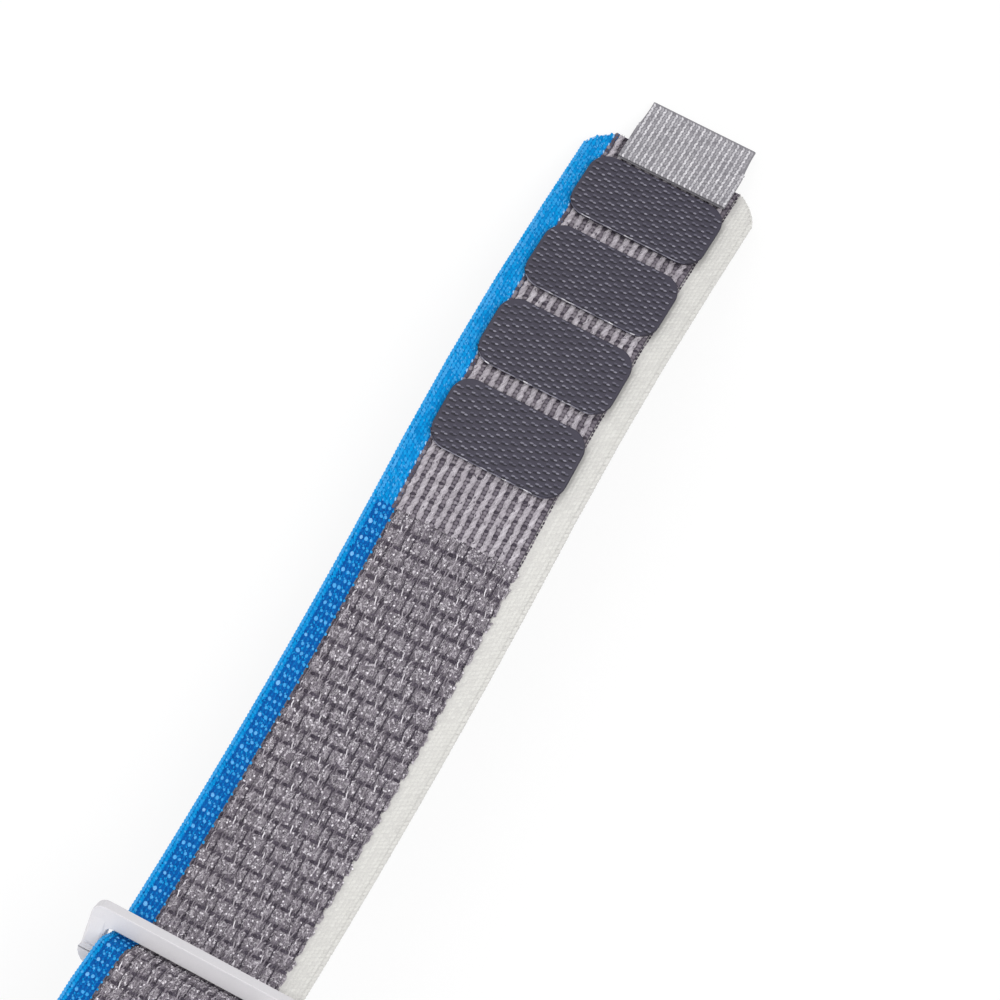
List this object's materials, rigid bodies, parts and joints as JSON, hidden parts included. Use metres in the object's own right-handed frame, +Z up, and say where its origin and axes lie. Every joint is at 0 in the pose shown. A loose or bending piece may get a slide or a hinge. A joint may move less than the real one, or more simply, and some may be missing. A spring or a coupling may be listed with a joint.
{
  "type": "watch strap",
  "caption": "Two-edged striped woven strap that threads through a ring lug and fastens back on itself with hook patches, with a lug at each end for a watch case.",
  "frame": {"origin": "centre of the strap's outline, on the surface it rests on", "axes": "+X along the strap towards the pull tab, +Y towards the blue edge, +Z up, out of the strap's outer face"},
  "size_m": [0.2358, 0.0282, 0.0348],
  "materials": {
    "blue_yarn": "woven, matt",
    "grey_yarn": "woven loop pile, matt",
    "white_yarn": "woven, matt",
    "hook_plastic": "moulded hooks, satin",
    "silver_ribbon": "fine twill, slight sheen",
    "lug_aluminium": "satin",
    "latch_steel": "satin",
    "spring_steel": "bright wire",
    "cover_plastic": "matt",
    "pad_rubber": "matt"
  },
  "bodies": {
    "strap_middle": {"slot_webbing": "grey_yarn", "webbing_main_1": "grey_yarn"},
    "main_2": {"webbing_main_2": "grey_yarn"},
    "main_3": {"webbing_main_3": "grey_yarn"},
    "main_4": {"webbing_main_4": "grey_yarn"},
    "main_5": {"webbing_main_5": "grey_yarn"},
    "main_6": {"webbing_main_6": "grey_yarn"},
    "main_7": {"webbing_main_7": "grey_yarn"},
    "main_8": {"webbing_main_8": "grey_yarn", "anchor_loop": "grey_yarn"},
    "tail_1": {"webbing_tail_1": "grey_yarn"},
    "tail_2": {"webbing_tail_2": "grey_yarn"},
    "tail_3": {"webbing_tail_3": "grey_yarn"},
    "tail_4": {"webbing_tail_4": "grey_yarn", "hook_patch_4": "hook_plastic"},
    "tail_5": {"webbing_tail_5": "grey_yarn", "hook_patch_3": "hook_plastic"},
    "tail_6": {"webbing_tail_6": "grey_yarn", "hook_patch_2": "hook_plastic"},
    "tail_7": {"webbing_tail_7": "grey_yarn", "hook_patch_1": "hook_plastic", "pull_tab_base": "silver_ribbon"},
    "tab": {"pull_tab": "silver_ribbon"},
    "free_lug": {"free_lug_body": "lug_aluminium", "free_lug_cover": "cover_plastic", "free_lug_spring": "spring_steel", "free_lug_pad_left": "pad_rubber", "free_lug_pad_right": "pad_rubber"},
    "free_latch": {"free_lug_latch": "latch_steel"},
    "fixed_lug": {"fixed_lug_body": "lug_aluminium", "fixed_lug_cover": "cover_plastic", "fixed_lug_spring": "spring_steel", "fixed_lug_pad_left": "pad_rubber", "fixed_lug_pad_right": "pad_rubber"},
    "fixed_latch": {"fixed_lug_latch": "latch_steel"}
  },
  "joints": [
    {"name": "tail_fold", "type": "hinge", "parent": "strap_middle", "child": "tail_1", "pos_m": [0.00444, 0, 0.02266], "axis": [0, -1, 0], "range_deg": [0, 173], "deforming": ["slot_webbing"]},
    {"name": "tail_flex_2", "type": "hinge", "parent": "tail_1", "child": "tail_2", "pos_m": [0.02733, 0, 0.01453], "axis": [0, -1, 0], "range_deg": [0, 5.7]},
    {"name": "tail_flex_3", "type": "hinge", "parent": "tail_2", "child": "tail_3", "pos_m": [0.04747, 0, 0.01204], "axis": [0, -1, 0], "range_deg": [0, 5.8]},
    {"name": "tail_flex_4", "type": "hinge", "parent": "tail_3", "child": "tail_4", "pos_m": [0.06775, 0, 0.01177], "axis": [0, -1, 0], "range_deg": [0, 12.1]},
    {"name": "tail_flex_5", "type": "hinge", "parent": "tail_4", "child": "tail_5", "pos_m": [0.07868, 0, 0.01108], "axis": [0, -1, 0], "range_deg": [0, 14.7]},
    {"name": "tail_flex_6", "type": "hinge", "parent": "tail_5", "child": "tail_6", "pos_m": [0.08942, 0, 0.00894], "axis": [0, -1, 0], "range_deg": [0, 13.7]},
    {"name": "tail_flex_7", "type": "hinge", "parent": "tail_6", "child": "tail_7", "pos_m": [0.09981, 0, 0.00546], "axis": [0, -1, 0], "range_deg": [0, 9.5]},
    {"name": "free_lug_turn", "type": "hinge", "parent": "strap_middle", "child": "free_lug", "pos_m": [0.00444, 0, 0.02266], "axis": [0, -1, 0], "range_deg": [0, 118.5]},
    {"name": "pull_tab_flex", "type": "hinge", "parent": "tail_7", "child": "tab", "pos_m": [0.11279, 0, 0.00211], "axis": [0, -1, 0], "range_deg": [-60, 4], "stiffness_Nm_per_rad": 0.002},
    {"name": "main_curl", "type": "hinge", "parent": "strap_middle", "child": "main_2", "pos_m": [-0.01472, 0, 0.02986], "axis": [0, -1, 0], "range_deg": [0, 22]},
    {"name": "main_flex_3", "type": "hinge", "parent": "main_2", "child": "main_3", "pos_m": [-0.02949, 0, 0.03294], "axis": [0, -1, 0], "range_deg": [0, 22.5]},
    {"name": "main_flex_4", "type": "hinge", "parent": "main_3", "child": "main_4", "pos_m": [-0.04455, 0, 0.03372], "axis": [0, -1, 0], "range_deg": [0, 22.5]},
    {"name": "main_flex_5", "type": "hinge", "parent": "main_4", "child": "main_5", "pos_m": [-0.05956, 0, 0.03219], "axis": [0, -1, 0], "range_deg": [0, 22.5]},
    {"name": "main_flex_6", "type": "hinge", "parent": "main_5", "child": "main_6", "pos_m": [-0.07416, 0, 0.02838], "axis": [0, -1, 0], "range_deg": [0, 22.5]},
    {"name": "main_flex_7", "type": "hinge", "parent": "main_6", "child": "main_7", "pos_m": [-0.08799, 0, 0.02237], "axis": [0, -1, 0], "range_deg": [0, 22.5]},
    {"name": "main_flex_8", "type": "hinge", "parent": "main_7", "child": "main_8", "pos_m": [-0.10075, 0, 0.01431], "axis": [0, -1, 0], "range_deg": [0, 22.5]},
    {"name": "fixed_lug_pivot", "type": "hinge", "parent": "main_8", "child": "fixed_lug", "pos_m": [-0.11071, 0, 0.00276], "axis": [0, -1, 0], "range_deg": [-75, 75]},
    {"name": "free_lug_press", "type": "slide", "parent": "free_lug", "child": "free_latch", "axis": [0.766, 0, 0.6428], "range_m": [0, 0.0004], "stiffness_N_per_m": 150, "springref_m": -0.001, "deforming": ["free_lug_spring"]},
    {"name": "fixed_lug_press", "type": "slide", "parent": "fixed_lug", "child": "fixed_latch", "axis": [0.9666, 0, 0.2563], "range_m": [0, 0.0004], "stiffness_N_per_m": 150, "springref_m": -0.001, "deforming": ["fixed_lug_spring"]}
  ],
  "couplings": [
    {"joint": "tail_flex_2", "follows": "tail_fold", "ratio": 0.03017},
    {"joint": "tail_flex_3", "follows": "tail_fold", "ratio": 0.03087},
    {"joint": "tail_flex_4", "follows": "tail_fold", "ratio": 0.06728},
    {"joint": "tail_flex_5", "follows": "tail_fold", "ratio": 0.08185},
    {"joint": "tail_flex_6", "follows": "tail_fold", "ratio": 0.07653},
    {"joint": "tail_flex_7", "follows": "tail_fold", "ratio": 0.05202},
    {"joint": "free_lug_turn", "follows": "tail_fold", "ratio": 0.68208},
    {"joint": "main_flex_3", "follows": "main_curl", "ratio": 1},
    {"joint": "main_flex_4", "follows": "main_curl", "ratio": 1},
    {"joint": "main_flex_5", "follows": "main_curl", "ratio": 1},
    {"joint": "main_flex_6", "follows": "main_curl", "ratio": 1},
    {"joint": "main_flex_7", "follows": "main_curl", "ratio": 1},
    {"joint": "main_flex_8", "follows": "main_curl", "ratio": 1}
  ]
}
